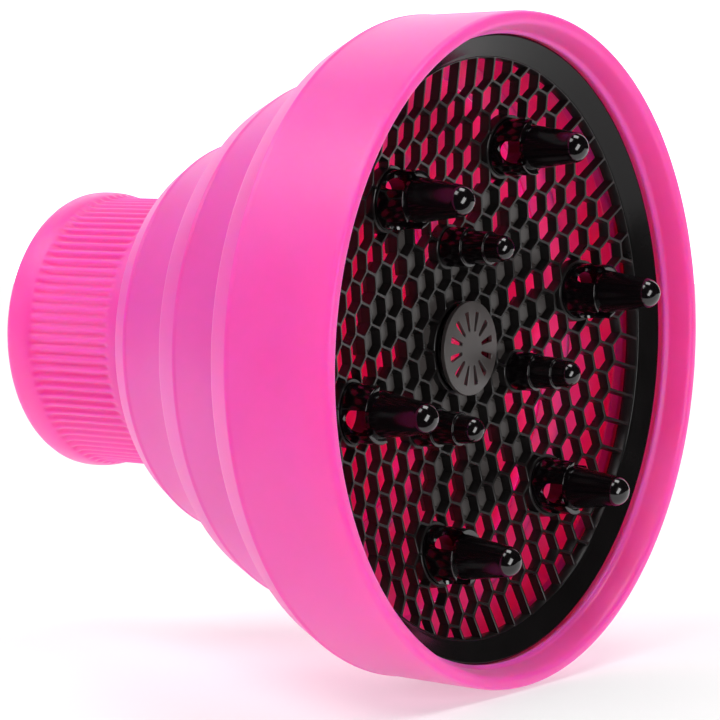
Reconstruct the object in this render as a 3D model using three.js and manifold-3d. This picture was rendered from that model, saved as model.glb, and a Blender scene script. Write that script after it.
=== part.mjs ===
// Collapsible hair-dryer diffuser: a stepped silicone bell that folds in three
// stages, with a rigid black insert of air cells and fingers in its mouth.
// Millimetres. +X runs along the axis from the neck to the mouth, +Z is up, and
// the origin is the centre of the neck's rear end face.
import * as THREE from 'three';
import { mergeVertices } from 'three/addons/utils/BufferGeometryUtils.js';
import Module from 'manifold-3d';

const wasm = await Module();
wasm.setup();
const { CrossSection, Manifold, Mesh: ManifoldMesh } = wasm;

// ---- driving dimensions ---------------------------------------------------
const LENGTH = 122.8; // neck end to the plane of the lip
const GAP = 0.4; // between a fold web and the stages it joins
const WALL = 2.0; // silicone wall of the stages
const WEB_WALL = 1.4; // thinner wall of the fold webs
const FLANGE = 2.4; // part of each riser that stays with the outer stage
const ROUND = 48; // facets round the silicone shell
const FINGER_ROUND = 16; // facets round a finger and its socket

// Outer outline of each stage, [distance from the neck end, radius].
const NECK_END = [38.8, 32.0];
const SMALL_STEP = [[41.6, 42.0], [46.6, 44.7], [54.8, 46.7], [62.8, 49.0]];
const LARGE_STEP = [[65.8, 56.1], [72.2, 58.9], [80.8, 61.6], [86.8, 62.2]];
const BAND = [[90.9, 69.9], [96.6, 72.9], [106.3, 73.0], [111.8, 73.1], [119.8, 73.0]];

// Neck cuff.
const BORE_R = 27.0;
const CUFF_R = 31.4;
const CUFF_BEAD_R = 32.6;
const RIB_COUNT = 84;
const RIB_R = 32.6;
const RIB_SPAN = [7.8, 29.8];

// Lip and the seat of the insert inside the band.
const LIP_INNER_R = 69.5;
const SEAT_R = 68.8;
const BEAD_R = 68.1; // retaining bead in front of the insert
const LEDGE_R = 66.6; // ledge behind the insert

// Insert: a dished plate of hexagonal cells inside a rim ring.
const PLATE_R = 63.4;
const PLATE_DEPTH = 2.1;
const CELL_PITCH = 6.675;
const CELL_WALL = 1.0;
const CELL_ROWS = 10; // the last row is stretched out to the rim
const CELL_LIMIT_R = 62.6;
const ROW_STRETCH = 10;
const TILT = 13.4; // degrees the insert is turned about the axis
const DISH_DEPTH = 18.0; // centre of the plate behind the lip plane
const DISH_SQUARE = 0.00122;
const DISH_FOURTH = 1.62e-7;
const BAFFLE_GAP = 0.4;
const BAFFLE_THICK = 1.0;
const BAFFLE_FACET = 9;
const BAFFLE_ROWS = 3;
const BAFFLE_ARM_ROWS = 5;
const BAFFLE_LOBE_ROWS = 6;
const SOCKET_WALL = 0.7;
const SMALLEST_HOLE = 3.0; // mm2; smaller slits are left solid

// Centre button on its collar.
const BUTTON_R = 10.3;
const BUTTON_FACE = 14.9; // behind the lip plane
const BUTTON_THICK = 1.2;
const BUTTON_SLOTS = 12;
const SLOT_SPAN = [3.8, 8.2];
const SLOT_WIDTH = [0.7, 1.5];
const COLLAR_R = 9.3;
const COLLAR_BORE = 8.5;
const COLLAR_BACK = 22.1;
const HUB_HOLE_R = 9.6;

// Fingers: [count, first angle, circle radius] and their own sizes, with
// distances measured from the lip plane (forward is positive).
const LARGE = {
  count: 6, start: TILT, circle: 45.6, foot: -17.4, socket: 6.7,
  footR: 6.4, shoulder: -7.3, shoulderR: 6.15, coneR: 4.7, tipR: 3.4, tip: 2.6,
  boreR: 4.8, boreEnd: -8.3, windows: 3, windowFoot: -13.2, windowWide: 5.3,
};
const SMALL = {
  count: 3, start: TILT + 90, circle: 22.9, foot: -19.2, socket: 4.7,
  footR: 4.4, step1: -11.9, step1R: 4.25, midR: 3.65, step2: -6.55, step2R: 3.6,
  coneR: 3.1, tipR: 2.9, tip: -4.0,
};

// ---- materials ------------------------------------------------------------
const silicone = new THREE.MeshStandardMaterial({ name: 'silicone', color: '#ee58b4', roughness: 0.5 });
const plastic = new THREE.MeshStandardMaterial({ name: 'black_plastic', color: '#181416', roughness: 0.3 });

// ---- geometry helpers -----------------------------------------------------
const rad = THREE.MathUtils.degToRad;

// Distance along the axis of the plate's front face at a radius.
function dish(radius) {
  const square = radius * radius;
  return LENGTH - DISH_DEPTH + DISH_SQUARE * square + DISH_FOURTH * square * square;
}

// Weld vertices and turn the surface so that it faces out.
function solid(geometry) {
  geometry.deleteAttribute('normal');
  geometry.deleteAttribute('uv');
  const welded = mergeVertices(geometry, 1e-4);
  const p = welded.attributes.position;
  const index = welded.index.array;
  const [a, b, c] = [new THREE.Vector3(), new THREE.Vector3(), new THREE.Vector3()];
  const kept = [];
  let volume = 0;
  for (let i = 0; i < index.length; i += 3) {
    const [ia, ib, ic] = [index[i], index[i + 1], index[i + 2]];
    if (ia === ib || ib === ic || ic === ia) continue;
    kept.push(ia, ib, ic);
    a.fromBufferAttribute(p, ia);
    b.fromBufferAttribute(p, ib);
    c.fromBufferAttribute(p, ic);
    volume += a.dot(b.cross(c));
  }
  welded.setIndex(volume < 0 ? kept.reverse() : kept);
  return welded;
}

function toManifold(geometry) {
  return new Manifold(new ManifoldMesh({
    numProp: 3,
    vertProperties: new Float32Array(geometry.attributes.position.array),
    triVerts: new Uint32Array(geometry.index.array),
  }));
}

function toGeometry(manifold) {
  const mesh = manifold.getMesh();
  const geometry = new THREE.BufferGeometry();
  geometry.setAttribute('position', new THREE.BufferAttribute(new Float32Array(mesh.vertProperties), 3));
  geometry.setIndex([...mesh.triVerts]);
  return geometry;
}

// Revolve an outline of [distance, radius] points about the X axis. An outline
// that does not end on the axis at both ends is closed on itself.
function revolve(outline, facets) {
  const points = outline.map(([x, r]) => new THREE.Vector2(r, x));
  const open = outline[0][1] === 0 && outline[outline.length - 1][1] === 0;
  if (!open) points.push(points[0].clone());
  const geometry = new THREE.LatheGeometry(points, facets);
  geometry.rotateZ(-Math.PI / 2);
  return solid(geometry);
}

function direction(from, to) {
  const length = Math.hypot(to[0] - from[0], to[1] - from[1]);
  return [(to[0] - from[0]) / length, (to[1] - from[1]) / length];
}

const inward = ([dx, dr]) => [dr, -dx];
const along = ([x, r], [dx, dr], distance) => [x + dx * distance, r + dr * distance];

// The line parallel to an outline, on the side of the axis.
function parallel(line, distance) {
  return line.map((point, i) => {
    const before = direction(line[Math.max(i - 1, 0)], line[Math.max(i, 1)]);
    const last = line.length - 1;
    const after = direction(line[Math.min(i, last - 1)], line[Math.min(i + 1, last)]);
    const [n1, n2] = [inward(before), inward(after)];
    const sum = [n1[0] + n2[0], n1[1] + n2[1]];
    const scale = (2 * distance) / (sum[0] ** 2 + sum[1] ** 2);
    return along(point, sum, scale);
  });
}

// Wall section of a stage: its outline, the parallel inner line, and the flange
// of the riser that comes from the stage behind.
function stageSection(outline, behind) {
  const riser = direction(behind, outline[0]);
  const inner = parallel(outline, WALL).reverse();
  const flangeTip = along(outline[0], riser, -FLANGE);
  const flangeInner = along(flangeTip, inward(riser), WEB_WALL);
  return [...outline, ...inner, flangeInner, flangeTip];
}

// Wall section of the web between the end of one stage and the next one's flange.
function webSection(behind, ahead) {
  const riser = direction(behind, ahead);
  const start = along(behind, riser, GAP);
  const end = along(ahead, riser, -FLANGE - GAP);
  const normal = inward(riser);
  return [start, end, along(end, normal, WEB_WALL), along(start, normal, WEB_WALL)];
}

// Points on a circle in the plane across the axis.
function circlePoints(radius, facets, centre = [0, 0]) {
  return Array.from({ length: facets }, (_, i) => {
    const angle = (2 * Math.PI * i) / facets;
    return [centre[0] + radius * Math.cos(angle), centre[1] + radius * Math.sin(angle)];
  });
}

const disc = (radius, facets, centre) => new CrossSection([circlePoints(radius, facets, centre)]);

function area(polygon) {
  return polygon.reduce((sum, [x, y], i) => {
    const [nx, ny] = polygon[(i + 1) % polygon.length];
    return sum + (x * ny - nx * y) / 2;
  }, 0);
}

// Raise a flat pattern into a plate whose front follows the dish, set back by a
// distance. Pattern coordinates are Y and Z. Wide faces are split into facets.
function dishedPlate(pattern, setBack, thickness, facet) {
  const kept = pattern.toPolygons().filter((polygon) => Math.abs(area(polygon)) > SMALLEST_HOLE);
  const flat = new CrossSection(kept).extrude(thickness);
  const split = facet ? flat.refineToLength(facet) : flat;
  return toGeometry(split.warp((v) => {
    const [y, z, depth] = v;
    v[0] = dish(Math.hypot(y, z)) - setBack - thickness + depth;
    v[1] = y;
    v[2] = z;
  }));
}

// ---- the silicone shell ---------------------------------------------------
function neckSleeve() {
  const [endX, endR] = NECK_END;
  const sleeve = toManifold(revolve([
    [0, BORE_R], [0, CUFF_R], [1.1, CUFF_BEAD_R], [RIB_SPAN[0] - 0.6, CUFF_BEAD_R],
    [RIB_SPAN[0] + 0.4, CUFF_R], [RIB_SPAN[1] - 0.4, CUFF_R], [RIB_SPAN[1] + 0.6, CUFF_BEAD_R - 0.1],
    [endX, endR], [endX, endR - WALL], [31.8, endR - WALL - 0.6], [28.8, BORE_R],
  ], ROUND));
  const rib = rad(360 / RIB_COUNT);
  const outline = [];
  for (let i = 0; i < RIB_COUNT; i += 1) {
    for (const [turn, radius] of [[-0.3, RIB_R], [0.3, RIB_R], [0.5, CUFF_R]]) {
      const angle = rib * (i + turn);
      outline.push(new THREE.Vector2(radius * Math.cos(angle), radius * Math.sin(angle)));
    }
  }
  const shape = new THREE.Shape(outline);
  const core = circlePoints(CUFF_R - WALL, ROUND).map(([x, y]) => new THREE.Vector2(x, y));
  shape.holes.push(new THREE.Path(core));
  const ribs = new THREE.ExtrudeGeometry(shape, { depth: RIB_SPAN[1] - RIB_SPAN[0], bevelEnabled: false });
  ribs.rotateY(Math.PI / 2);
  ribs.translate(RIB_SPAN[0], 0, 0);
  return toGeometry(sleeve.add(toManifold(solid(ribs))));
}

// The widest stage: shoulder, band, rounded lip, then back inside past the
// bead that holds the insert, its seat and the ledge behind it.
function bellBand() {
  const behind = LARGE_STEP[LARGE_STEP.length - 1];
  const riser = direction(behind, BAND[0]);
  const flangeTip = along(BAND[0], riser, -FLANGE);
  const flangeInner = along(flangeTip, inward(riser), WEB_WALL);
  const fromLip = (depth, radius) => [LENGTH - depth, radius];
  const lip = [
    fromLip(1.2, 72.6), fromLip(0.3, 71.9), fromLip(0, 71.0), fromLip(0.4, 70.1), fromLip(1.6, LIP_INNER_R),
  ];
  const inside = [
    fromLip(4.6, 69.0), fromLip(5.0, BEAD_R), fromLip(5.8, BEAD_R), fromLip(6.2, SEAT_R),
    fromLip(16.0, SEAT_R), fromLip(16.4, LEDGE_R), fromLip(18.4, LEDGE_R), fromLip(20.4, 69.4),
    [BAND[1][0] + 0.6, BAND[1][1] - 2.6], [BAND[0][0] + 1.4, BAND[0][1] - 2.0],
  ];
  return revolve([...BAND, ...lip, ...inside, flangeInner, flangeTip], ROUND);
}

// ---- the insert -----------------------------------------------------------
// Steps between a cell and the centre cell.
const cellRow = (i, j) => Math.max(Math.abs(i), Math.abs(j), Math.abs(i + j));

function cellCentre(i, j) {
  const [a, b] = [rad(TILT), rad(TILT + 60)];
  return [
    CELL_PITCH * (i * Math.cos(a) + j * Math.cos(b)),
    CELL_PITCH * (i * Math.sin(a) + j * Math.sin(b)),
  ];
}

// One hexagon round a cell centre. A stretched cell has its outer half moved
// out along the side of the lattice that it belongs to.
function cellOutline(i, j, corner, stretch = 0) {
  const [y, z] = cellCentre(i, j);
  const angle = THREE.MathUtils.radToDeg(Math.atan2(z, y));
  const side = TILT + 30 + 60 * Math.round((angle - TILT - 30) / 60);
  return Array.from({ length: 6 }, (_, k) => {
    const turn = 60 * k;
    const out = Math.cos(rad(turn)) > 0 ? stretch : 0;
    return [
      y + corner * Math.cos(rad(side + turn)) + out * Math.cos(rad(side)),
      z + corner * Math.sin(rad(side + turn)) + out * Math.sin(rad(side)),
    ];
  });
}

function eachCell(rows, visit) {
  for (let i = -rows; i <= rows; i += 1) {
    for (let j = -rows; j <= rows; j += 1) {
      if (cellRow(i, j) <= rows) visit(i, j);
    }
  }
}

// Centres of a ring of fingers in the plane across the axis.
function fingerCentres({ count, start, circle }) {
  return Array.from({ length: count }, (_, k) => {
    const angle = rad(start + (360 / count) * k);
    return [circle * Math.cos(angle), circle * Math.sin(angle)];
  });
}

function cellPlate() {
  const corner = (CELL_PITCH - CELL_WALL) / Math.sqrt(3);
  const cells = [];
  eachCell(CELL_ROWS, (i, j) => {
    cells.push(cellOutline(i, j, corner, cellRow(i, j) === CELL_ROWS ? ROW_STRETCH : 0));
  });
  const holes = new CrossSection(cells, 'NonZero').intersect(disc(CELL_LIMIT_R, 72));
  let pattern = disc(PLATE_R, 72).subtract(holes);
  const sockets = [[[0, 0], HUB_HOLE_R]];
  for (const finger of [LARGE, SMALL]) {
    for (const centre of fingerCentres(finger)) sockets.push([centre, finger.socket]);
  }
  for (const [centre, radius] of sockets) {
    pattern = pattern.add(disc(radius + SOCKET_WALL, FINGER_ROUND, centre))
      .subtract(disc(radius, FINGER_ROUND, centre));
  }
  return dishedPlate(pattern, 0, PLATE_DEPTH, 0);
}

// Cells closed from behind: the middle of the plate, an arm towards each large
// finger, and three lobes between the small fingers.
function isClosed(i, j) {
  const row = cellRow(i, j);
  if (row <= BAFFLE_ROWS) return true;
  const onArm = i === 0 || j === 0 || i + j === 0;
  if (onArm) return row <= BAFFLE_ARM_ROWS;
  const [y, z] = cellCentre(i, j);
  const angle = THREE.MathUtils.radToDeg(Math.atan2(z, y)) - TILT - 30;
  const lobe = 120 * Math.round(angle / 120);
  return row <= BAFFLE_LOBE_ROWS && Math.abs(angle - lobe) < 12;
}

function bafflePlate() {
  const corner = (CELL_PITCH / Math.sqrt(3)) * 1.02;
  const cells = [];
  eachCell(BAFFLE_LOBE_ROWS, (i, j) => {
    if (isClosed(i, j)) cells.push(cellOutline(i, j, corner));
  });
  const pattern = new CrossSection(cells, 'NonZero').subtract(disc(HUB_HOLE_R, 24));
  return dishedPlate(pattern, PLATE_DEPTH + BAFFLE_GAP, BAFFLE_THICK, BAFFLE_FACET);
}

function rimRing() {
  const fromLip = (depth, radius) => [LENGTH - depth, radius];
  return revolve([
    fromLip(6.5, 67.8), fromLip(10.1, 63.7), fromLip(15.6, 63.7), fromLip(15.6, 66.0),
    fromLip(13.0, 68.3), fromLip(7.0, 68.3),
  ], ROUND);
}

function centreButton() {
  const back = LENGTH - BUTTON_FACE - BUTTON_THICK;
  const blank = toManifold(revolve([
    [back, 0], [back, BUTTON_R - 0.3], [back + 0.4, BUTTON_R],
    [back + BUTTON_THICK - 0.4, BUTTON_R], [back + BUTTON_THICK, BUTTON_R - 0.4], [back + BUTTON_THICK, 0],
  ], 36));
  const slots = [];
  for (let k = 0; k < BUTTON_SLOTS; k += 1) {
    const angle = rad(TILT + (360 / BUTTON_SLOTS) * k);
    const corners = [[0, -1], [1, -1], [1, 1], [0, 1]];
    slots.push(corners.map(([end, side]) => {
      const [u, v] = [SLOT_SPAN[end], (side * SLOT_WIDTH[end]) / 2];
      return [u * Math.cos(angle) - v * Math.sin(angle), u * Math.sin(angle) + v * Math.cos(angle)];
    }));
  }
  const cutter = new CrossSection(slots, 'NonZero').extrude(BUTTON_THICK * 3);
  const placed = cutter.warp((v) => {
    const [y, z, depth] = v;
    v[0] = back - BUTTON_THICK + depth;
    v[1] = y;
    v[2] = z;
  });
  return toGeometry(blank.subtract(placed));
}

function centreCollar() {
  const [back, front] = [LENGTH - COLLAR_BACK, LENGTH - BUTTON_FACE - BUTTON_THICK - 0.3];
  return revolve([[back, COLLAR_BORE], [back, COLLAR_R], [front, COLLAR_R], [front, COLLAR_BORE]], 24);
}

// Rounded end of a finger, from the cone to the point on the axis.
function tipArc(centre, radius) {
  return [30, 60].map((a) => [centre + radius * Math.sin(rad(a)), radius * Math.cos(rad(a))])
    .concat([[centre + radius, 0]]);
}

// A large finger: a hollow foot with three windows, then a solid cone. Each
// window has a round end towards the plate and is open at the shoulder.
function largeFinger() {
  const f = LARGE;
  const body = toManifold(revolve([
    [f.boreEnd, 0], [f.boreEnd, f.boreR], [f.foot, f.boreR], [f.foot, f.footR],
    [f.shoulder, f.shoulderR], [f.shoulder, f.coneR], [f.tip, f.tipR], ...tipArc(f.tip, f.tipR),
  ], FINGER_ROUND));
  const half = f.windowWide / 2;
  const open = f.shoulder + 0.3;
  const arch = new THREE.Shape();
  arch.moveTo(open, half);
  arch.lineTo(f.windowFoot + half, half);
  arch.absarc(f.windowFoot + half, 0, half, Math.PI / 2, Math.PI * 1.5, false);
  arch.lineTo(open, -half);
  const cutter = solid(new THREE.ExtrudeGeometry(arch, {
    depth: f.footR * 2, bevelEnabled: false, curveSegments: 6,
  }));
  const coreR = f.boreR - 0.02;
  const core = toManifold(revolve([
    [f.foot, 0], [f.foot, coreR], [open + 1, coreR], [open + 1, 0],
  ], FINGER_ROUND));
  let finger = body;
  for (let k = 0; k < f.windows; k += 1) {
    const turned = cutter.clone().rotateX(rad((360 / f.windows) * k));
    finger = finger.subtract(toManifold(turned).subtract(core));
  }
  return toGeometry(finger);
}

// A small finger: a solid pin with two steps.
function smallFinger() {
  const f = SMALL;
  return revolve([
    [f.foot, 0], [f.foot, f.footR], [f.step1, f.step1R], [f.step1, f.midR],
    [f.step2, f.step2R], [f.step2, f.coneR], [f.tip, f.tipR], ...tipArc(f.tip, f.tipR),
  ], FINGER_ROUND);
}

// Copies of a finger round the axis, each turned with the ring so that one
// window faces away from the axis.
function placeFingers(finger, geometry) {
  return fingerCentres(finger).map(([y, z], k) => {
    const angle = finger.start + (360 / finger.count) * k;
    return geometry.clone().rotateX(rad(angle + 30)).translate(LENGTH, y, z);
  });
}

// ---- assembly -------------------------------------------------------------
const group = new THREE.Group();
group.name = 'dryer_diffuser';

function add(name, geometry, material) {
  const mesh = new THREE.Mesh(geometry, material);
  mesh.name = name;
  group.add(mesh);
}

const smallEnd = SMALL_STEP[SMALL_STEP.length - 1];
const largeEnd = LARGE_STEP[LARGE_STEP.length - 1];
add('neck_sleeve', neckSleeve(), silicone);
add('fold_web_neck', revolve(webSection(NECK_END, SMALL_STEP[0]), ROUND), silicone);
add('step_ring_small', revolve(stageSection(SMALL_STEP, NECK_END), ROUND), silicone);
add('fold_web_middle', revolve(webSection(smallEnd, LARGE_STEP[0]), ROUND), silicone);
add('step_ring_large', revolve(stageSection(LARGE_STEP, smallEnd), ROUND), silicone);
add('fold_web_bell', revolve(webSection(largeEnd, BAND[0]), ROUND), silicone);
add('bell_band', bellBand(), silicone);
add('rim_ring', rimRing(), plastic);
add('cell_plate', cellPlate(), plastic);
add('baffle_plate', bafflePlate(), plastic);
add('centre_collar', centreCollar(), plastic);
add('centre_button', centreButton(), plastic);
placeFingers(LARGE, largeFinger()).forEach((g, k) => add(`finger_large_${k + 1}`, g, plastic));
placeFingers(SMALL, smallFinger()).forEach((g, k) => add(`finger_small_${k + 1}`, g, plastic));

export default group;
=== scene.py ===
import math

import bmesh
import bpy
import numpy as np
from mathutils import Matrix, Vector
from mathutils.geometry import delaunay_2d_cdt

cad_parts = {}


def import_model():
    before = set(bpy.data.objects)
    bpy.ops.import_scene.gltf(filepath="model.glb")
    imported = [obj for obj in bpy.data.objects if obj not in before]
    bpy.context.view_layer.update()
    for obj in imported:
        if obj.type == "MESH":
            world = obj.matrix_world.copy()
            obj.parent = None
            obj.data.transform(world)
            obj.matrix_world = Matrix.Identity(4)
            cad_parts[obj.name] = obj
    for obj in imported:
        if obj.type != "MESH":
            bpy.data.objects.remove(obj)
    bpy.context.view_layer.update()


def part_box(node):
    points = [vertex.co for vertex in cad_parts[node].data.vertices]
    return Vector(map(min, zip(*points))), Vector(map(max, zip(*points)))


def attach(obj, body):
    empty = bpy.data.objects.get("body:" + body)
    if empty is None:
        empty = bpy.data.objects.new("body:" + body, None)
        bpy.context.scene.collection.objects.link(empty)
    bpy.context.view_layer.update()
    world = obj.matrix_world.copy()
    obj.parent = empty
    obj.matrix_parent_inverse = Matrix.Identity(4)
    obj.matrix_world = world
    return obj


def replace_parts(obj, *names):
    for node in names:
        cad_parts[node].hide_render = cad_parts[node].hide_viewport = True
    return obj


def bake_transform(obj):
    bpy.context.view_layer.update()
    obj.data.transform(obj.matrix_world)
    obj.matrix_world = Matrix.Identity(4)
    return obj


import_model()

MM = 0.001
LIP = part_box("bell_band")[1].x / MM  # plane of the lip
NECK_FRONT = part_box("neck_sleeve")[1].x / MM
FLOOR_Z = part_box("bell_band")[0].z

# ---- driving dimensions, millimetres and degrees --------------------------
AROUND = 288  # facets round the shell
WALL = 2.0
WEB_WALL = 1.4
FLANGE = 2.4

NECK_R = 32.3
NECK_BORE = 27.0
RIB_COUNT = 84
RIB_SPAN = (6.9, 30.2)
RIB_DEPTH = 0.7
THROAT_R = NECK_R - 1.0

# Outer outline of each stage.
SMALL_STEP = [(41.6, 42.0, 0.7), (46.4, 44.7, 0.5), (54.8, 46.5, 4.0), (62.8, 49.0, 0.2)]
LARGE_STEP = [(65.8, 56.1, 0.7), (72.0, 58.9, 0.5), (80.0, 60.7, 4.0), (86.8, 62.2, 0.2)]
BAND = [(90.9, 69.9, 0.7), (96.6, 72.5, 0.8), (106.3, 72.7, 3.0), (LIP - 1.2, 73.0, 0.5)]
RIDGE = 0.22  # height of the fine ridge where a chamfer meets its tread

# Insert.
TILT = 13.4
PITCH = 6.675
CELL_WALL = 0.6
CELL_DRAFT = 0.25  # each wall is this much thicker at its back, per side
CELL_ROWS = 10
CELL_LIMIT = 63.0
ROW_STRETCH = 10.0
PLATE_R = 63.4
PLATE_DEPTH = 2.2
DISH = (18.0, 0.00122, 1.62e-7)  # depth of the centre, square and fourth terms
EDGE = 0.08  # rounding of moulded plastic edges
HUB_HOLE = 9.6
SOCKET_WALL = 0.65
BAFFLE_ROWS = 3
BAFFLE_ARM_ROWS = 5
BAFFLE_LOBE_ROWS = 6
BAFFLE_SET_BACK = 2.3
BAFFLE_THICK = 1.2
BUTTON_R = 10.3
BUTTON_FACE = 14.9
BUTTON_THICK = 1.2
SLOT_COUNT = 12
SLOT_SPAN = (3.8, 8.2)
SLOT_WIDTH = (0.7, 1.5)
COLLAR_RADII = (8.5, 9.3)

# Fingers; distances are measured from the lip plane, forward is positive.
LARGE = dict(count=6, start=TILT, circle=45.6, foot=-17.4, foot_r=6.4, shoulder=-7.3,
             shoulder_r=6.15, cone_r=4.7, tip_r=3.4, tip=2.6, bore_r=4.8, socket=7.05,
             window=(-13.2, 5.3))
SMALL = dict(count=3, start=TILT + 90, circle=22.9, foot=-19.2, foot_r=4.4, step1=-11.9,
             step1_r=4.25, mid_r=3.65, step2=-6.55, step2_r=3.6, cone_r=3.1, tip_r=2.9,
             tip=-4.0, socket=4.9)


def dish(radius):
    """Distance of the plate's front face along the axis, at a radius."""
    depth, square, fourth = DISH
    return LIP - depth + square * radius**2 + fourth * radius**4


# ---- mesh helpers ----------------------------------------------------------
def mesh_object(name, verts, faces, material, sharp=32):
    """A closed mesh from millimetre points, smooth but for its sharp edges."""
    mesh = bpy.data.meshes.new(name)
    mesh.from_pydata([[c * MM for c in v] for v in verts], [], faces)
    made = bmesh.new()
    made.from_mesh(mesh)
    bmesh.ops.remove_doubles(made, verts=made.verts, dist=1e-7)
    bmesh.ops.recalc_face_normals(made, faces=made.faces)
    made.to_mesh(mesh)
    made.free()
    mesh.shade_smooth()
    mesh.set_sharp_from_angle(angle=math.radians(sharp))
    mesh.materials.append(material)
    obj = bpy.data.objects.new(name, mesh)
    bpy.context.scene.collection.objects.link(obj)
    return obj


def rounded(corners, steps=5):
    """A closed outline of (distance, radius, rounding) corners as points."""
    line = []
    for i, (x, r, size) in enumerate(corners):
        here = np.array((x, r))
        if size == 0:
            line.append(here)
            continue
        sides = []
        for j in (i - 1, (i + 1) % len(corners)):
            other = np.array(corners[j][:2])
            length = np.linalg.norm(other - here)
            sides.append(here + (other - here) / length * min(size, 0.45 * length))
        for k in range(steps + 1):
            t = k / steps
            line.append((1 - t) ** 2 * sides[0] + 2 * t * (1 - t) * here + t**2 * sides[1])
    return line


def subdivided(line, longest):
    """The closed outline with no piece longer than a length."""
    out = []
    for a, b in zip(line, line[1:] + line[:1]):
        parts = max(1, math.ceil(np.linalg.norm(np.subtract(b, a)) / longest))
        out += [np.array(a) + (np.array(b) - np.array(a)) * k / parts for k in range(parts)]
    return out


def revolved(name, outline, material, around=AROUND, radius_at=None):
    """Turns a closed outline about the axis. radius_at(x, r, angle) may change
    the radius of each point."""
    verts, faces, n = [], [], len(outline)
    for j in range(around):
        angle = 2 * math.pi * j / around
        for x, r in outline:
            rr = radius_at(x, r, angle) if radius_at else r
            verts.append((x, rr * math.cos(angle), rr * math.sin(angle)))
    for j in range(around):
        k = (j + 1) % around
        for i in range(n):
            m = (i + 1) % n
            faces.append((j * n + i, j * n + m, k * n + m, k * n + i))
    return mesh_object(name, verts, faces, material)


def towards(a, b):
    """Unit direction from one outline point to another."""
    d = np.subtract(b[:2], a[:2]).astype(float)
    return d / np.linalg.norm(d)


def inward(d):
    """The direction square to d on the side of the axis."""
    return np.array((d[1], -d[0]))


def inner_line(outline, wall):
    """The line parallel to a stage's outline on the side of the axis."""
    line = []
    for i in range(len(outline)):
        a = towards(outline[max(i - 1, 0)], outline[max(i, 1)])
        b = towards(outline[min(i, len(outline) - 2)], outline[min(i + 1, len(outline) - 1)])
        total = inward(a) + inward(b)
        x, r = np.array(outline[i][:2]) + total * 2 * wall / total.dot(total)
        line.append((x, r, outline[i][2]))
    return line


# ---- materials -------------------------------------------------------------
def node(tree, kind, **inputs):
    made = tree.nodes.new(kind)
    for name, value in inputs.items():
        made.inputs[name.replace("_", " ")].default_value = value
    return made


def material(name):
    made = bpy.data.materials.new(name)
    made.use_nodes = True
    return made, made.node_tree, made.node_tree.nodes["Principled BSDF"]


def noise(tree, scale, detail=3.0, roughness=0.55):
    """Noise in the row frame, with its scale in features per metre."""
    where = tree.nodes.new("ShaderNodeTexCoord")
    made = node(tree, "ShaderNodeTexNoise", Scale=scale, Detail=detail, Roughness=roughness)
    tree.links.new(where.outputs["Object"], made.inputs["Vector"])
    return made


def ranged(tree, source, low, high, start=0.3, end=0.7):
    made = node(tree, "ShaderNodeMapRange", From_Min=start, From_Max=end, To_Min=low, To_Max=high)
    tree.links.new(source, made.inputs["Value"])
    return made.outputs["Result"]


def bumped(tree, shader, layers):
    """Adds noise bumps to a shader: (source, strength, distance) each."""
    last = None
    for source, strength, distance in layers:
        bump = node(tree, "ShaderNodeBump", Strength=strength, Distance=distance)
        tree.links.new(source, bump.inputs["Height"])
        if last:
            tree.links.new(last.outputs["Normal"], bump.inputs["Normal"])
        last = bump
    tree.links.new(last.outputs["Normal"], shader.inputs["Normal"])


def silicone_material():
    made, tree, shader = material("silicone_pink")
    cloud = noise(tree, 45, 4)
    ramp = tree.nodes.new("ShaderNodeValToRGB")
    ramp.color_ramp.elements[0].position = 0.3
    ramp.color_ramp.elements[0].color = (0.88, 0.072, 0.415, 1)
    ramp.color_ramp.elements[1].position = 0.7
    ramp.color_ramp.elements[1].color = (0.90, 0.086, 0.455, 1)
    tree.links.new(cloud.outputs["Fac"], ramp.inputs["Fac"])
    tree.links.new(ramp.outputs["Color"], shader.inputs["Base Color"])
    fine = noise(tree, 2600, 2)
    tree.links.new(ranged(tree, cloud.outputs["Fac"], 0.38, 0.46), shader.inputs["Roughness"])
    shader.inputs["Subsurface Weight"].default_value = 1.0
    shader.inputs["Subsurface Radius"].default_value = (1.0, 0.06, 0.30)
    shader.inputs["Subsurface Scale"].default_value = 0.006
    shader.inputs["IOR"].default_value = 1.5
    shader.inputs["Sheen Weight"].default_value = 0.25
    shader.inputs["Sheen Roughness"].default_value = 0.45
    shader.inputs["Sheen Tint"].default_value = (1.0, 0.8, 0.9, 1)
    bumped(tree, shader, [(fine.outputs["Fac"], 0.12, 0.00006),
                          (cloud.outputs["Fac"], 0.1, 0.0004)])
    return made


def plastic_material(name, color, roughness, grain, ior):
    """Moulded black plastic: roughness is (low, high), grain the bump strength."""
    made, tree, shader = material(name)
    cloud = noise(tree, 120, 4)
    fine = noise(tree, 3800, 2)
    ramp = tree.nodes.new("ShaderNodeValToRGB")
    ramp.color_ramp.elements[0].position = 0.3
    ramp.color_ramp.elements[0].color = (*[c * 0.85 for c in color], 1)
    ramp.color_ramp.elements[1].position = 0.7
    ramp.color_ramp.elements[1].color = (*[c * 1.15 for c in color], 1)
    tree.links.new(cloud.outputs["Fac"], ramp.inputs["Fac"])
    tree.links.new(ramp.outputs["Color"], shader.inputs["Base Color"])
    tree.links.new(ranged(tree, cloud.outputs["Fac"], *roughness), shader.inputs["Roughness"])
    shader.inputs["IOR"].default_value = ior
    bumped(tree, shader, [(fine.outputs["Fac"], grain, 0.00005),
                          (cloud.outputs["Fac"], 0.06, 0.0003)])
    return made


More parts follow.
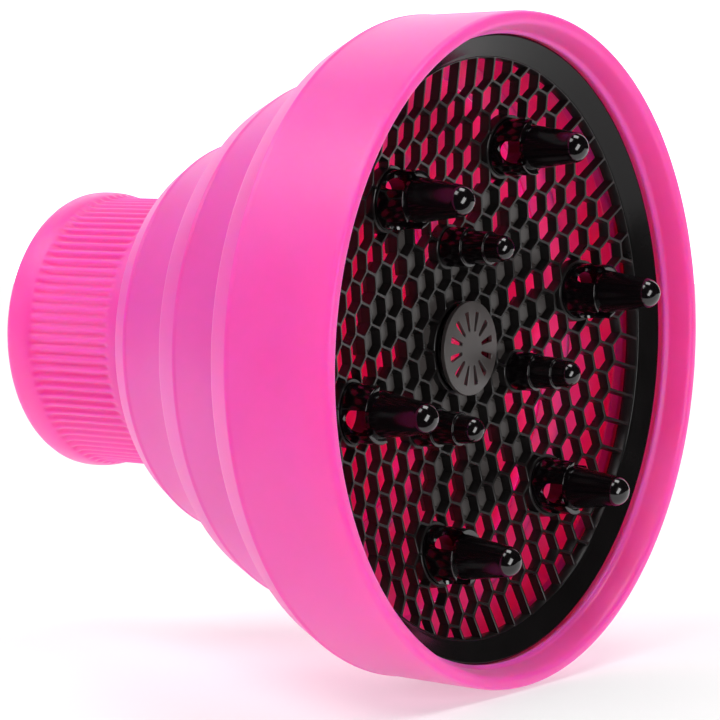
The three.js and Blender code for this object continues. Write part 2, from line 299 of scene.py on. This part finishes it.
SILICONE = silicone_material()
GLOSS = plastic_material("plastic_gloss", (0.003, 0.002, 0.0025), (0.10, 0.15), 0.01, 1.6)
SATIN = plastic_material("plastic_satin", (0.008, 0.007, 0.007), (0.27, 0.34), 0.04, 1.5)
SMOOTH = plastic_material("plastic_dull", (0.006, 0.0055, 0.0055), (0.12, 0.17), 0.02, 1.3)
# Black plastic of the baffle and button with a lighter grey base colour: painted reflection,
# standing in for the grey their front faces show by mirroring the bright surroundings. The
# shader's own gloss adds real reflection on top.
PAINTED_GREY_PLASTIC = plastic_material("plastic_painted_grey", (0.052, 0.045, 0.043), (0.30, 0.38), 0.06, 1.6)


# ---- silicone shell ----------------------------------------------------------
def neck():
    """The cuff: a rounded bead at its end, then soft ribs, then the plain throat."""
    outline = rounded([
        (0.0, NECK_R + 0.2, 2.3), (5.6, NECK_R + 0.3, 2.5), (8.8, THROAT_R, 2.4),
        (NECK_FRONT, THROAT_R, 0), (NECK_FRONT, THROAT_R - WEB_WALL, 0),
        (32.4, THROAT_R - WEB_WALL - 0.2, 1.0), (28.8, NECK_BORE, 1.0), (0.0, NECK_BORE, 1.2),
    ])
    outline = subdivided(outline, 0.9)
    start, end = RIB_SPAN

    def groove(x, r, angle):
        if r < THROAT_R - 0.3 or not start < x < end:
            return r
        near_end = min(1.0, (x - start) / 1.6, (end - x) / 1.6)
        phase = (angle * RIB_COUNT / (2 * math.pi)) % 1.0
        near = abs(phase - 0.5) / 0.45
        cut = (1 - near**2) ** 2 if near < 1 else 0.0
        return r - RIB_DEPTH * cut * near_end**2 * (3 - 2 * near_end)

    return revolved("shell_neck", outline, SILICONE, RIB_COUNT * 10, groove)


def ridged(outline):
    """The outline with a fine ridge at its second corner."""
    first, (x, r, size), *rest = outline
    ahead = towards((x, r), rest[0]) * 0.9
    crest = (x, r + RIDGE, 0.25)
    foot = (x + ahead[0], r + ahead[1], 0.3)
    return [first, crest, foot, *rest]


def soft_end(inner):
    """The inner line of a stage, from its front, with a large fillet there."""
    (x, r, size), *rest = inner
    return [(x, r + 1.6, 0.5), (x - 2.4, r, 1.6), *rest]


def stage(name, outline, behind, inner=None):
    """One stage of the bell with the flange of the riser behind it."""
    riser = towards(behind, outline[0])
    start = np.array(outline[0][:2])
    tip = start - riser * FLANGE
    tip_inner = tip + inward(riser) * WEB_WALL
    inner = inner or soft_end(list(reversed(inner_line(outline, WALL))))
    corners = [*ridged(outline), *inner, (*tip_inner, 0), (*tip, 0)]
    return revolved(name, rounded(corners), SILICONE)


def web(name, behind, ahead):
    """The thin riser between two stages, from the front of one to the back of the other."""
    riser = towards(behind, ahead)
    start = np.array(behind[:2])
    end = np.array(ahead[:2]) - riser * FLANGE
    normal = inward(riser) * WEB_WALL
    outline = subdivided([start, end, end + normal, start + normal], 0.35)
    piece = revolved(name, outline, SILICONE, 192)
    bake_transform(piece)
    return piece


def at_depth(corners):
    """(depth behind the lip, radius, rounding) corners as corners of an outline."""
    return [(LIP - depth, radius, size) for depth, radius, size in corners]


def band_inside():
    """Lip and inner wall of the band: bead, seat of the insert, ledge."""
    return at_depth([
        (0.0, 72.6, 0.6), (0.0, 70.2, 1.2), (3.0, 69.3, 1.5), (5.4, 69.0, 0.5),
        (6.0, 68.1, 0.4), (6.8, 68.1, 0.3), (7.2, 68.8, 0.2), (16.0, 68.8, 0.2),
        (16.4, 66.6, 0.3), (18.4, 66.6, 0.3), (20.4, 69.4, 0.5),
    ]) + [
        (BAND[1][0] + 0.6, BAND[1][1] - 2.6, 1.0), (BAND[0][0] + 1.4, BAND[0][1] - WALL, 0.6),
    ]


# ---- insert --------------------------------------------------------------------
def cell_row(i, j):
    """Steps between a cell and the centre cell."""
    return max(abs(i), abs(j), abs(i + j))


def cell_centre(i, j):
    a, b = math.radians(TILT), math.radians(TILT + 60)
    return np.array((i * math.cos(a) + j * math.cos(b), i * math.sin(a) + j * math.sin(b))) * PITCH


def cell_angle(i, j):
    y, z = cell_centre(i, j)
    return math.degrees(math.atan2(z, y))


def cells(rows):
    span = range(-rows, rows + 1)
    return [(i, j) for i in span for j in span if cell_row(i, j) <= rows]


def cell_outline(i, j, corner, stretch=0.0):
    """A hexagon round a cell; a stretched one has its outer half moved out."""
    side = math.radians(TILT + 30 + 60 * round((cell_angle(i, j) - TILT - 30) / 60))
    out = np.array((math.cos(side), math.sin(side))) * stretch
    points = []
    for k in range(6):
        turn = math.radians(60 * k)
        direction = np.array((math.cos(side + turn), math.sin(side + turn)))
        point = cell_centre(i, j) + corner * direction
        points.append(point + (out if math.cos(turn) > 0 else 0))
    return points


def clipped(polygon, radius):
    """The part of a convex polygon inside a circle about the axis."""
    if max(np.linalg.norm(p) for p in polygon) <= radius:
        return polygon
    for k in range(90):
        angle = 2 * math.pi * k / 90
        normal = np.array((math.cos(angle), math.sin(angle)))
        out = []
        for a, b in zip(polygon, polygon[1:] + polygon[:1]):
            da, db = a.dot(normal) - radius, b.dot(normal) - radius
            if da <= 0:
                out.append(a)
            if da * db < 0:
                out.append(a + (b - a) * da / (da - db))
        polygon = out
        if len(polygon) < 3:
            return []
    return polygon


def polygon_area(polygon):
    y, z = np.array(polygon).T
    return 0.5 * (y.dot(np.roll(z, -1)) - z.dot(np.roll(y, -1)))


def soft_corners(polygon, size, steps=3):
    """The polygon with its corners rounded."""
    return [np.array(p) for p in rounded([(*p, size) for p in polygon], steps)]


def circle(radius, count, centre=(0, 0)):
    turns = [2 * math.pi * k / count for k in range(count)]
    return [np.array(centre) + radius * np.array((math.cos(t), math.sin(t))) for t in turns]


def inside(polygon, points):
    """Which of the points lie inside a convex polygon."""
    corners = np.array(polygon)
    sides = np.roll(corners, -1, axis=0) - corners
    offset = points[:, None, :] - corners
    return (sides[:, 0] * offset[:, :, 1] - sides[:, 1] * offset[:, :, 0] > 0).all(axis=1)


def perforated(name, loops, is_solid, front, thickness, material, draft=0.0):
    """A plate cut along closed loops that may cross. is_solid tells which of
    the pieces between them stay, by their centres. front(radius) is the
    distance of the front face along the axis. The front edges are softened, and
    the walls grow by the draft towards the back."""
    flat, edges = [], []
    for loop in loops:
        start, count = len(flat), len(loop)
        edges += [(start + k, start + (k + 1) % count) for k in range(count)]
        flat += [Vector(p) for p in loop]
    points, _, triangles, *_ = delaunay_2d_cdt(flat, edges, [], 0, 1e-5)
    points = np.array([tuple(p) for p in points])
    centres = np.array([points[list(t)].mean(axis=0) for t in triangles])
    kept = [t for t, stays in zip(triangles, is_solid(centres)) if stays]
    directed = {(t[k], t[(k + 1) % 3]) for t in kept for k in range(3)}
    rim = [(a, b) for a, b in directed if (b, a) not in directed]
    shift = np.zeros_like(points)
    for a, b in rim:
        side = points[b] - points[a]
        normal = np.array((-side[1], side[0])) / np.linalg.norm(side)
        shift[a] += normal
        shift[b] += normal
    shift *= 2 / np.maximum((shift**2).sum(axis=1, keepdims=True), 1.0)
    total, verts = len(points), []
    layers = ((points + shift * EDGE, 0), (points, EDGE), (points - shift * draft, thickness))
    for layer, drop in layers:
        verts += [(front(math.hypot(y, z)) - drop, y, z) for y, z in layer]
    faces = [tuple(t) for t in kept]
    faces += [(2 * total + c, 2 * total + b, 2 * total + a) for a, b, c in kept]
    for a, b in rim:
        for layer in (0, total):
            faces.append((layer + b, layer + a, layer + total + a, layer + total + b))
    return mesh_object(name, verts, faces, material)


def finger_centres(finger):
    """(angle, centre) of each finger of a ring, in the plane across the axis."""
    step = 360 / finger["count"]
    angles = [math.radians(finger["start"] + step * k) for k in range(finger["count"])]
    return [(a, np.array((math.cos(a), math.sin(a))) * finger["circle"]) for a in angles]


def cell_plate():
    corner = (PITCH - CELL_WALL) / math.sqrt(3)
    holes = []
    for i, j in cells(CELL_ROWS):
        stretch = ROW_STRETCH if cell_row(i, j) == CELL_ROWS else 0
        outline = clipped(cell_outline(i, j, corner, stretch), CELL_LIMIT)
        if len(outline) > 2 and polygon_area(outline) > 4:
            holes.append(soft_corners(outline, 0.3))
    sockets = [((0, 0), HUB_HOLE, HUB_HOLE + SOCKET_WALL)]
    for finger in (LARGE, SMALL):
        bore = finger["socket"] - SOCKET_WALL
        sockets += [(centre, bore, finger["socket"]) for _, centre in finger_centres(finger)]
    loops = [circle(PLATE_R, 180), *holes]
    for centre, bore, outer in sockets:
        loops += [circle(bore, 64, centre), circle(outer, 64, centre)]

    def is_solid(points):
        solid = np.hypot(*points.T) < PLATE_R
        for hole in holes:
            solid &= ~inside(hole, points)
        for centre, bore, outer in sockets:
            distance = np.hypot(*(points - centre).T)
            solid = (solid | (distance < outer)) & (distance > bore)
        return solid

    return perforated("insert_cell_plate", loops, is_solid, dish, PLATE_DEPTH, SATIN, CELL_DRAFT)


def is_closed(i, j):
    """Cells closed from behind: the middle, the arms towards the large fingers
    and the three lobes between the small fingers."""
    row = cell_row(i, j)
    if row <= 1:
        return False
    if row <= BAFFLE_ROWS:
        return True
    if 0 in (i, j, i + j):
        return row <= BAFFLE_ARM_ROWS
    angle = cell_angle(i, j) - TILT - 30
    return row <= BAFFLE_LOBE_ROWS and abs(angle - 120 * round(angle / 120)) < 12


def baffle():
    """Star-shaped plate behind the cells, with a stepped floor in each."""
    made = bmesh.new()
    corner = PITCH / math.sqrt(3)
    for i, j in cells(BAFFLE_LOBE_ROWS):
        if is_closed(i, j):
            made.faces.new([made.verts.new((0, *(p * MM))) for p in cell_outline(i, j, corner)])
    bmesh.ops.remove_doubles(made, verts=made.verts, dist=1e-5)
    bmesh.ops.recalc_face_normals(made, faces=made.faces)
    if made.faces[:][0].normal.x < 0:
        bmesh.ops.reverse_faces(made, faces=made.faces)
    floors = made.faces[:]
    back = bmesh.ops.extrude_face_region(made, geom=floors)
    for v in [g for g in back["geom"] if isinstance(g, bmesh.types.BMVert)]:
        v.co.x -= BAFFLE_THICK * MM
    bmesh.ops.reverse_faces(made, faces=floors)
    fronts = [f for f in made.faces if abs(f.calc_center_median().x) < 1e-6]
    bmesh.ops.inset_individual(made, faces=fronts, thickness=0.9 * MM, depth=0)
    bmesh.ops.inset_individual(made, faces=fronts, thickness=0.25 * MM, depth=0.4 * MM)
    bmesh.ops.inset_individual(made, faces=fronts, thickness=0.5 * MM, depth=0)
    bmesh.ops.inset_individual(made, faces=fronts, thickness=0.25 * MM, depth=0.35 * MM)
    for v in made.verts:
        v.co.x += (dish(math.hypot(v.co.y, v.co.z) / MM) - BAFFLE_SET_BACK) * MM
    verts = [v.co / MM for v in made.verts]
    faces = [[v.index for v in f.verts] for f in made.faces]
    made.free()
    return mesh_object("insert_baffle", verts, faces, PAINTED_GREY_PLASTIC)


def button():
    slots = []
    for k in range(SLOT_COUNT):
        angle = math.radians(TILT + 360 / SLOT_COUNT * k)
        along = np.array((math.cos(angle), math.sin(angle)))
        across = np.array((-along[1], along[0]))
        outline = [along * SLOT_SPAN[e] + across * s * SLOT_WIDTH[e] / 2
                   for e, s in ((0, -1), (1, -1), (1, 1), (0, 1))]
        slots.append(soft_corners(outline, 0.45))

    def is_solid(points):
        return ~np.any([inside(slot, points) for slot in slots], axis=0)

    def crown(radius):
        return LIP - BUTTON_FACE - 0.3 * (radius / BUTTON_R) ** 4

    loops = [circle(r, 96) for r in (BUTTON_R, 9.4, 3.0)] + slots
    return perforated("insert_button", loops, is_solid, crown, BUTTON_THICK - 0.3, PAINTED_GREY_PLASTIC)


def collar():
    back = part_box("centre_collar")[0].x / MM
    front = LIP - BUTTON_FACE - BUTTON_THICK - 0.2
    inner, outer = COLLAR_RADII
    corners = [(back, inner, 0.2), (back, outer, 0.2), (front, outer, 0.2), (front, inner, 0.2)]
    return revolved("insert_collar", rounded(corners), GLOSS, 96)


def rim_ring():
    """Cone-faced ring with a thin skirt behind it."""
    corners = at_depth([
        (7.5, 67.8, 0.3), (9.9, 64.1, 0.3), (10.4, 63.2, 0.3), (13.0, 63.2, 0.3),
        (13.4, 65.6, 0.3), (15.6, 66.4, 0.4), (15.0, 68.3, 0.5), (7.9, 68.3, 0.3),
    ])
    return revolved("insert_rim_ring", rounded(corners), SMOOTH)


def tip_arc(centre, radius, steps=9):
    turns = [math.pi / 2 * k / steps for k in range(1, steps + 1)]
    return [(centre + radius * math.sin(t), radius * math.cos(t), 0) for t in turns]


def turned(name, corners, material, around=56):
    """A solid of revolution whose outline starts and ends on its own axis."""
    line = [p for p in rounded(corners) if p[1] > -1]
    verts, faces = [], []
    for j in range(around):
        angle = 2 * math.pi * j / around
        verts += [(x, max(r, 0) * math.cos(angle), max(r, 0) * math.sin(angle)) for x, r in line]
    n = len(line)
    for j in range(around):
        k = (j + 1) % around
        faces += [(j * n + i, j * n + i + 1, k * n + i + 1, k * n + i) for i in range(n - 1)]
    return mesh_object(name, verts, faces, material)


def large_finger():
    """Hollow foot with three windows open at its shoulder, and a solid cone."""
    f = LARGE
    foot = revolved("finger_foot", rounded([
        (f["foot"], f["bore_r"], 0.1), (f["foot"], f["foot_r"], 0.1),
        (f["shoulder"], f["shoulder_r"], 0.25), (f["shoulder"], f["bore_r"], 0),
    ]), GLOSS, 72)
    bottom, wide = f["window"]
    half = wide / 2
    top = f["shoulder"] + 0.5
    arch = [(top, half)]
    arch += [(bottom + half - half * math.sin(math.pi * k / 20), half * math.cos(math.pi * k / 20))
             for k in range(21)]
    arch += [(top, -half)]
    n, deep = len(arch), 2 * f["foot_r"]
    for k in range(3):
        verts = [(x, y, z) for z in (1, deep) for x, y in arch]
        faces = [tuple(range(n)), tuple(range(2 * n - 1, n - 1, -1))]
        faces += [(i, (i + 1) % n, n + (i + 1) % n, n + i) for i in range(n)]
        cutter = mesh_object("finger_cutter", verts, faces, GLOSS)
        cutter.matrix_world = Matrix.Rotation(math.radians(120 * k), 4, "X")
        cut = foot.modifiers.new("window", "BOOLEAN")
        cut.object = cutter
        cut.solver = "EXACT"
        settle(foot)
        bpy.data.objects.remove(cutter)
    edge = foot.modifiers.new("edge", "BEVEL")
    edge.width = 0.2 * MM
    edge.segments = 2
    edge.angle_limit = math.radians(50)
    settle(foot)
    foot.data.set_sharp_from_angle(angle=math.radians(40))
    cone = turned("finger_cone", [
        (f["shoulder"] - 1, 0, 0), (f["shoulder"] - 1, f["bore_r"] + 0.05, 0.1),
        (f["shoulder"], f["bore_r"] + 0.05, 0.2), (f["tip"], f["tip_r"], 0.8),
        *tip_arc(f["tip"], f["tip_r"]),
    ], GLOSS)
    return joined(foot, cone)


def joined(first, second):
    """Both meshes in the first object."""
    made = bmesh.new()
    made.from_mesh(first.data)
    made.from_mesh(second.data)
    made.to_mesh(first.data)
    made.free()
    bpy.data.objects.remove(second)
    return first


def settle(obj):
    """Puts a piece's modifiers into its mesh."""
    bpy.context.view_layer.update()
    graph = bpy.context.evaluated_depsgraph_get()
    mesh = bpy.data.meshes.new_from_object(obj.evaluated_get(graph))
    obj.modifiers.clear()
    obj.data = mesh


def small_finger():
    f = SMALL
    return turned("pin_blank", [
        (f["foot"], 0, 0), (f["foot"], f["foot_r"], 0.2), (f["step1"], f["step1_r"], 0.2),
        (f["step1"], f["mid_r"], 0.1), (f["step2"], f["step2_r"], 0.2),
        (f["step2"], f["cone_r"], 0.1), (f["tip"], f["tip_r"], 0), *tip_arc(f["tip"], f["tip_r"]),
    ], GLOSS)


def placed(blank, finger, name):
    """Copies of a finger round the axis, one window facing away from it."""
    for k, (angle, centre) in enumerate(finger_centres(finger)):
        piece = bpy.data.objects.new(f"{name}_{k + 1}_look", blank.data.copy())
        place = Matrix.Translation((LIP * MM, *(centre * MM)))
        piece.data.transform(place @ Matrix.Rotation(angle + math.radians(30), 4, "X"))
        bpy.context.scene.collection.objects.link(piece)
        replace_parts(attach(piece, "bell"), f"{name}_{k + 1}")
    bpy.data.objects.remove(blank)


# ---- assembly --------------------------------------------------------------------
NECK_END = (NECK_FRONT, THROAT_R)
RIDES = [
    (neck(), "neck", ["neck_sleeve"]),
    (stage("shell_step_small", SMALL_STEP, NECK_END), "small_stage", ["step_ring_small"]),
    (stage("shell_step_large", LARGE_STEP, SMALL_STEP[-1]), "large_stage", ["step_ring_large"]),
    (stage("shell_band", BAND, LARGE_STEP[-1], band_inside()), "bell", ["bell_band"]),
]
for piece, body, nodes in RIDES:
    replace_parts(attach(piece, body), *nodes)

WEBS = [
    ("neck", NECK_END, SMALL_STEP[0], ("neck", "small_stage")),
    ("middle", SMALL_STEP[-1], LARGE_STEP[0], ("small_stage", "large_stage")),
    ("bell", LARGE_STEP[-1], BAND[0], ("large_stage", "bell")),
]
for name, behind, ahead, bodies in WEBS:
    piece = web(f"shell_web_{name}", behind, ahead)
    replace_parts(piece, f"fold_web_{name}")

INSERT = [
    (cell_plate(), "cell_plate"), (baffle(), "baffle_plate"), (button(), "centre_button"),
    (collar(), "centre_collar"), (rim_ring(), "rim_ring"),
]
for piece, cad in INSERT:
    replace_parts(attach(piece, "bell"), cad)
placed(large_finger(), LARGE, "finger_large")
placed(small_finger(), SMALL, "finger_small")


# ---- stage, light and camera --------------------------------------------------------
def pale(name, glow):
    """A plain white surface that also gives off some light of its own."""
    made, _, shader = material(name)
    shader.inputs["Base Color"].default_value = (0.6, 0.6, 0.6, 1)
    shader.inputs["Roughness"].default_value = 0.8
    shader.inputs["Specular IOR Level"].default_value = 0.0
    shader.inputs["Emission Color"].default_value = (1, 1, 1, 1)
    shader.inputs["Emission Strength"].default_value = glow
    return made


def stage_mesh(name, verts, faces, surface):
    mesh = bpy.data.meshes.new(name)
    mesh.from_pydata(verts, [], faces)
    mesh.materials.append(surface)
    obj = bpy.data.objects.new(name, mesh)
    bpy.context.scene.collection.objects.link(obj)
    return obj


def surroundings(radius, height, floor_surface, wall_surface):
    """Wide floor and round wall, which aren't mirrored in the object. The wall
    doesn't light it either."""
    ring = [(radius * math.cos(math.radians(5 * k)), radius * math.sin(math.radians(5 * k)))
            for k in range(72)]
    ground = FLOOR_Z - 0.0008
    low = [(x, y, ground) for x, y in ring]
    high = [(x, y, ground + height) for x, y in ring]
    wall = [(k, (k + 1) % 72, 72 + (k + 1) % 72, 72 + k) for k in range(72)]
    wide_floor = stage_mesh("wide_floor", low, [tuple(range(72))], floor_surface)
    round_wall = stage_mesh("round_wall", low + high, wall, wall_surface)
    wide_floor.visible_glossy = False
    round_wall.visible_glossy = False
    round_wall.visible_diffuse = False


def sweep(name, width, line, surface):
    """A strip of paper under or behind the object along a line of (distance
    away from the camera, height) points."""
    across = Vector((right.x, right.y, 0)).normalized()
    away = Vector((-back.x, -back.y, 0)).normalized()
    base = Vector((lip_centre.x, lip_centre.y, FLOOR_Z - 0.0004))
    verts = []
    for distance, z in line:
        middle = base + away * distance + Vector((0, 0, z))
        verts += [middle - across * width / 2, middle + across * width / 2]
    faces = [(2 * k, 2 * k + 1, 2 * k + 3, 2 * k + 2) for k in range(len(line) - 1)]
    stage_mesh(name, verts, faces, surface)


def softbox(name, size, power):
    """A rectangular area lamp, still to be placed."""
    lamp = bpy.data.lights.new(name, "AREA")
    lamp.shape = "RECTANGLE"
    lamp.size, lamp.size_y = size
    lamp.energy = power
    obj = bpy.data.objects.new(name, lamp)
    bpy.context.scene.collection.objects.link(obj)
    return obj


def panel(name, place, size, power, gloss=True):
    """A softbox aimed at the lip's centre. Without gloss it lights surfaces but
    isn't mirrored in them."""
    obj = softbox(name, size, power)
    obj.location = place
    obj.rotation_euler = (lip_centre - place).to_track_quat("-Z", "Y").to_euler()
    obj.visible_glossy = gloss


def strip(name, place, end, size, power):
    """A long softbox facing the lip, whose long side points to a given end."""
    obj = softbox(name, size, power)
    away = (place - lip_centre).normalized()
    along = (end - place - away * (end - place).dot(away)).normalized()
    axes = Matrix((along.cross(away), along, away)).transposed()
    obj.matrix_world = Matrix.Translation(place) @ axes.to_4x4()


def world(strength):
    made = bpy.data.worlds.new("studio")
    made.use_nodes = True
    ground = made.node_tree.nodes["Background"]
    ground.inputs["Color"].default_value = (1, 1, 1, 1)
    ground.inputs["Strength"].default_value = strength
    bpy.context.scene.world = made


VIEW_AZIMUTH, VIEW_ELEVATION = math.radians(35.83), math.radians(4.63)
VIEW_DISTANCE = 0.6349
VIEW_LENS = 147.7
AIM_SHIFT = (-0.03653, -0.00180)  # from the lip's centre, right and up in the view

back = Vector((
    math.sin(VIEW_AZIMUTH) * math.cos(VIEW_ELEVATION),
    -math.cos(VIEW_AZIMUTH) * math.cos(VIEW_ELEVATION),
    math.sin(VIEW_ELEVATION),
))
turn = back.to_track_quat("Z", "Y")
right, up = turn @ Vector((1, 0, 0)), turn @ Vector((0, 1, 0))
lip_centre = Vector((LIP * MM, 0, 0))

camera = bpy.data.objects.new("camera", bpy.data.cameras.new("camera"))
camera.data.lens = VIEW_LENS
camera.data.clip_start, camera.data.clip_end = 0.05, 50
camera.location = lip_centre + right * AIM_SHIFT[0] + up * AIM_SHIFT[1] + back * VIEW_DISTANCE
camera.rotation_mode = "QUATERNION"
camera.rotation_quaternion = turn
bpy.context.scene.collection.objects.link(camera)
bpy.context.scene.camera = camera
bpy.context.scene.view_settings.view_transform = "Standard"


def seen(x, y, towards_camera):
    """A place given by its directions right, up and towards the camera."""
    return lip_centre + right * x + up * y + back * towards_camera


PAPER_FLOOR, PAPER_WALL = pale("paper_white", 0.42), pale("paper_bright", 1.1)
surroundings(3.0, 4.0, PAPER_FLOOR, PAPER_WALL)
sweep("paper_floor", 2.4, [(-0.07, 0), (1.6, 0)], PAPER_FLOOR)
sweep("paper_wall", 2.4, [(1.6, -0.05), (1.65, 2.2)], PAPER_WALL)
world(0.02)
panel("top_panel", seen(0.45, 1.8, 0.2), (0.8, 0.8), 12)
strip("key_strip", seen(-0.53, 0.89, 0.35), seen(-0.05, 1.18, 1.3), (0.48, 1.1), 7.5)
strip("side_strip", seen(0.53, 0.0, 0.96), seen(0.77, 0.47, 0.8), (0.40, 0.9), 7.0)
panel("left_fill", seen(-0.9, 0.2, 0.9), (1.0, 1.0), 4, False)
panel("rear_fill", seen(-1.0, 0.25, -0.7), (1.0, 1.0), 5, False)
panel("right_fill", seen(0.9, 0.3, -0.9), (1.0, 1.0), 11, False)
